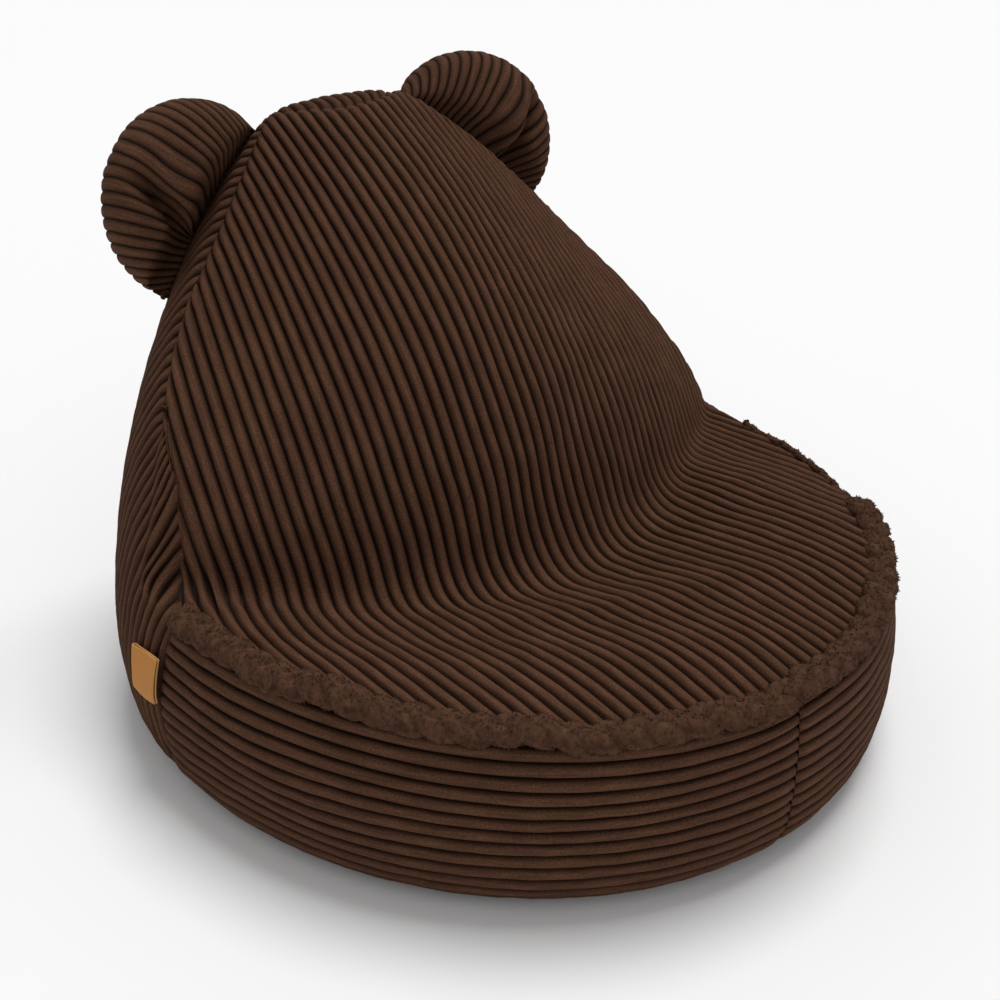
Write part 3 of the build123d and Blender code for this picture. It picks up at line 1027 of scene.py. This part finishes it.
class BEANBAG_OT_zip(bpy.types.Operator):
    """Weaves the zip's tapes, winds its coil and finishes its metal pieces"""

    bl_idname = "bean_bag.zip"
    bl_label = "Zip"

    def execute(self, context):
        materials = finishes(settings_of(context))
        for side in ("front", "rear"):
            node = f"zip_tape_{side}"
            low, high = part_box(node)
            x, y = np.linspace(low.x, high.x, 102), np.linspace(low.y, high.y, 7)
            weave = 0.00006 * (np.add.outer(np.arange(len(x)), np.arange(len(y))) % 2)
            grid = np.stack([*np.meshgrid(x, y, indexing="ij"), low.z + weave], axis=-1)
            tape = new_object(node + "_cloth", grid_mesh(node, grid[::-1]))
            tape.data.materials.append(materials["tape"])
            shell = tape.modifiers.new("Tape thickness", "SOLIDIFY")
            shell.thickness, shell.offset = high.z - low.z, -1.0
            settle(tape)
            declare(tape, "bag", "zip_tape", node)
            seam_y = low.y + 0.004 if side == "front" else high.y - 0.004
            places = [(a, seam_y, low.z) for a in np.arange(low.x + 0.004, high.x - 0.002, 0.004)]
            seam = beads(f"zip_seam_{side}", places, (0.0028, 0.0006, 0.0005), materials["thread"])
            declare(seam, "bag", "zip_tape")
        low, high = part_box("zip_coil")
        middle_y, middle_z = (low.y + high.y) / 2, (low.z + high.z) / 2
        places = []
        for k, a in enumerate(np.arange(low.x + 0.0006, high.x, 0.0008)):
            places.append((a, middle_y + (0.0007 if k % 2 else -0.0007), middle_z))
        size = (0.0009, high.y - low.y - 0.0024, 0.8 * (high.z - low.z))
        coil = beads("zip_coil_turns", places, size, materials["coil"])
        declare(coil, "bag", "zip_coil", "zip_coil")
        for node in ("zip_slider", "zip_top_stop", "zip_bottom_stop"):
            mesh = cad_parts[node].data
            mesh.materials.clear()
            mesh.materials.append(materials["metal"])
        return {"FINISHED"}


def filled_form(name, node, shrink, voxel, finish):
    """A soft closed form inside a CAD node's space."""
    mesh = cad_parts[node].data.copy()
    mesh.materials.clear()
    piece = new_object(name, mesh)
    weld = piece.modifiers.new("Weld", "WELD")
    weld.merge_threshold = 0.00005
    remesh = piece.modifiers.new("Even mesh", "REMESH")
    remesh.mode, remesh.voxel_size = "VOXEL", voxel
    soften = piece.modifiers.new("Soften", "SMOOTH")
    soften.iterations = 4
    sink = piece.modifiers.new("Sink", "DISPLACE")
    sink.strength, sink.mid_level = -shrink, 0.0
    settle(piece)
    for vertex, place in zip(piece.data.vertices, slump(np.array([v.co for v in piece.data.vertices]))):
        vertex.co = place
    piece.data.materials.append(finish)
    piece.data.shade_smooth()
    return piece


class BEANBAG_OT_filling(bpy.types.Operator):
    """Fills the bag with its lining and beads, lays a near-black sheet of painted shade just under the cover,
    and fills the ears with fibre
    """

    bl_idname = "bean_bag.filling"
    bl_label = "Lining and filling"

    def execute(self, context):
        materials = finishes(settings_of(context))
        for name, shrink, finish, slot, *nodes in (
            ("inner_liner_bag", 0.006, "lining", "liner_cloth", "inner_liner"),
            # A near-black sheet just under the cover: painted shade seen through gaps between the panels
            ("cover_backing", 0.002, "backing_painted_shade", "corduroy_wall"),
            ("bead_filling", 0.010, "beads", "beads", "bead_fill"),
        ):
            piece = filled_form(name, "bead_fill", shrink, 0.012, materials[finish])
            declare(piece, "bag", slot, *nodes)
        for hand, mirror in (("right", 1), ("left", -1)):
            node = f"{hand}_ear_stuffing"
            piece = filled_form(node + "_fibre", node, 0.016, 0.006, materials["fibre"])
            middle, out, _, face = (Vector((mirror * v.x, v.y, v.z)) for v in ear_plane())
            # Flattened and kept off the base, so that the fold and the bend of the cloth clear it
            for vertex in piece.data.vertices:
                height = (vertex.co - middle).dot(face)
                vertex.co -= (0.75 if height > 0 else 0.3) * height * face
                vertex.co += max(0.012 - (vertex.co - middle).dot(out), 0) * out
            declare(piece, f"{hand}_ear", "fibre_fill", node)
        return {"FINISHED"}


class BEANBAG_OT_stage(bpy.types.Operator):
    """Floor, soft studio light and the camera"""

    bl_idname = "bean_bag.stage"
    bl_label = "Stage"

    def execute(self, context):
        scene = context.scene
        scene.view_settings.view_transform = "Standard"
        mesh = bpy.data.meshes.new("floor")
        corners = [(x * FLOOR_SIZE, y * FLOOR_SIZE, 0) for x, y in ((-1, -1), (1, -1), (1, 1), (-1, 1))]
        mesh.from_pydata(corners, [], [(0, 1, 2, 3)])
        floor = new_object("floor", mesh)
        material, _, _ = principled("Pale floor", Base_Color=(0.95, 0.95, 0.95, 1), Roughness=0.95)
        mesh.materials.append(material)
        world = bpy.data.worlds.new("Studio")
        world.use_nodes = True
        tree = world.node_tree
        tree.nodes["Background"].inputs["Color"].default_value = (1, 1, 1, 1)
        tree.nodes["Background"].inputs["Strength"].default_value = WORLD_LIGHT
        scene.world = world
        for name, (source, strength, spread) in SUNS.items():
            light = bpy.data.lights.new(name, "SUN")
            light.energy, light.angle = strength, math.radians(spread)
            lamp = bpy.data.objects.new(name, light)
            lamp.rotation_euler = Vector(source).to_track_quat("Z", "Y").to_euler()
            scene.collection.objects.link(lamp)
        camera = bpy.data.cameras.new("camera")
        camera.sensor_width, camera.lens = CAMERA_SENSOR, CAMERA_LENS
        camera.clip_end = 100.0
        viewer = bpy.data.objects.new("camera", camera)
        back = CAMERA_RIGHT.cross(CAMERA_UP)
        turn = Matrix((CAMERA_RIGHT, CAMERA_UP, back)).transposed().to_4x4()
        viewer.matrix_world = Matrix.Translation(CAMERA_PLACE) @ turn
        scene.collection.objects.link(viewer)
        scene.camera = viewer
        return {"FINISHED"}


PIECES = [
    BEANBAG_OT_seat,
    BEANBAG_OT_walls,
    BEANBAG_OT_base,
    BEANBAG_OT_edge_roll,
    BEANBAG_OT_ears,
    BEANBAG_OT_label,
    BEANBAG_OT_zip,
    BEANBAG_OT_filling,
    BEANBAG_OT_stage,
]


class BEANBAG_PT_pieces(bpy.types.Panel):
    """Lists the chair's pieces and settings"""

    bl_label = "Bean Bag"
    bl_idname = "BEANBAG_PT_pieces"
    bl_space_type = "VIEW_3D"
    bl_region_type = "UI"
    bl_category = "Bean Bag"

    def draw(self, context):
        for name in BeanBagSettings.__annotations__:
            self.layout.prop(settings_of(context), name)
        for piece in PIECES:
            self.layout.operator(piece.bl_idname)


CLASSES = [BeanBagSettings, *PIECES, BEANBAG_PT_pieces]


def register():
    for item in CLASSES:
        bpy.utils.register_class(item)
    bpy.types.Scene.bean_bag = PointerProperty(type=BeanBagSettings)


def unregister():
    del bpy.types.Scene.bean_bag
    for item in reversed(CLASSES):
        bpy.utils.unregister_class(item)


def main():
    register()
    for piece in PIECES:
        group, name = piece.bl_idname.split(".")
        getattr(getattr(bpy.ops, group), name)()


if __name__ == "__main__":
    main()
